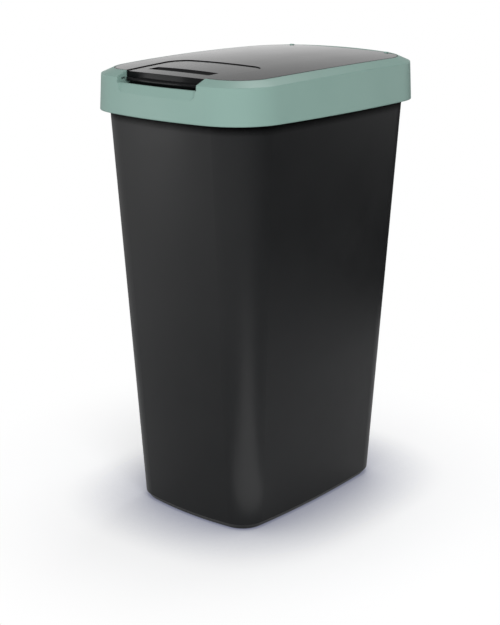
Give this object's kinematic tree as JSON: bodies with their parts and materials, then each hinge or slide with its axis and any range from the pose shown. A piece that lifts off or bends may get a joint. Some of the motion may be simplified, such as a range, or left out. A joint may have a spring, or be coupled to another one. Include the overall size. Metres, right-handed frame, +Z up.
{
  "type": "lidded trash can",
  "caption": "Tall tapered kitchen bin with a lift-off bag frame and a hinged crowned lid that opens by a finger notch and groove at the front.",
  "frame": {"origin": "centre of the resting base, on the floor", "axes": "+Z up, -Y towards the front with the finger notch, +X to the right seen from the front"},
  "size_m": [0.29, 0.401, 0.5996],
  "materials": {
    "body_plastic": "moulded polypropylene, satin black",
    "frame_plastic": "moulded polypropylene, satin grey green",
    "lid_plastic": "moulded polypropylene, polished black",
    "pin_plastic": "moulded acetal, black"
  },
  "bodies": {
    "bucket": {"bin_body": "body_plastic"},
    "frame": {"bag_frame": "frame_plastic"},
    "cover": {"lid": "lid_plastic", "hinge_pin_left": "pin_plastic", "hinge_pin_right": "pin_plastic"}
  },
  "joints": [
    {"name": "frame_lift", "type": "slide", "parent": "bucket", "child": "frame", "axis": [0, 0, 1], "range_m": [0, 0.12]},
    {"name": "lid_hinge", "type": "hinge", "parent": "frame", "child": "cover", "pos_m": [0, 0.1685, 0.5937], "axis": [-1, 0, 0], "range_deg": [0, 95]}
  ]
}
